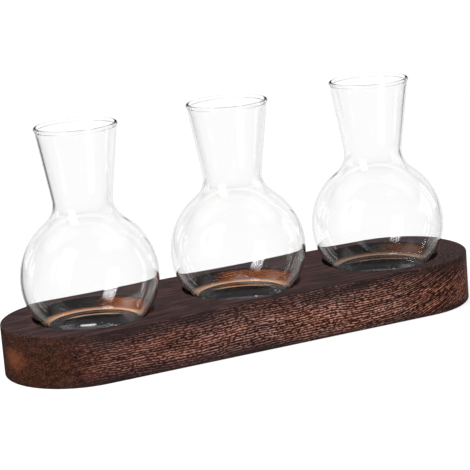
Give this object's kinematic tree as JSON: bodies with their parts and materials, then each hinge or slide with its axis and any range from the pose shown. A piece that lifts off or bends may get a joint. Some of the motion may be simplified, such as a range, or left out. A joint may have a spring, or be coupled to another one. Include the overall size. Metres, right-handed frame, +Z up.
{
  "type": "propagation vase",
  "caption": "Propagation vase: clear round-bellied blown glass bottles with flared necks, standing in round recesses of an oblong dark wooden stand with rounded ends.",
  "frame": {"origin": "centre of the stand's underside", "axes": "+X along the row of vases, from left to right as seen from the front; +Y away from the viewer; +Z up"},
  "size_m": [0.2976, 0.0876, 0.1403],
  "materials": {
    "scorched_wood": "scorched, wire-brushed and oiled",
    "clear_glass": "clear blown glass with a fire-polished rim"
  },
  "bodies": {
    "stand": {"stand": "scorched_wood"},
    "vase_left": {"vase_left": "clear_glass"},
    "vase_middle": {"vase_middle": "clear_glass"},
    "vase_right": {"vase_right": "clear_glass"}
  },
  "joints": [
    {"name": "vase_left_lift", "type": "slide", "parent": "stand", "child": "vase_left", "axis": [0, 0, 1], "range_m": [0, 0.12]},
    {"name": "vase_middle_lift", "type": "slide", "parent": "stand", "child": "vase_middle", "axis": [0, 0, 1], "range_m": [0, 0.12]},
    {"name": "vase_right_lift", "type": "slide", "parent": "stand", "child": "vase_right", "axis": [0, 0, 1], "range_m": [0, 0.12]}
  ]
}
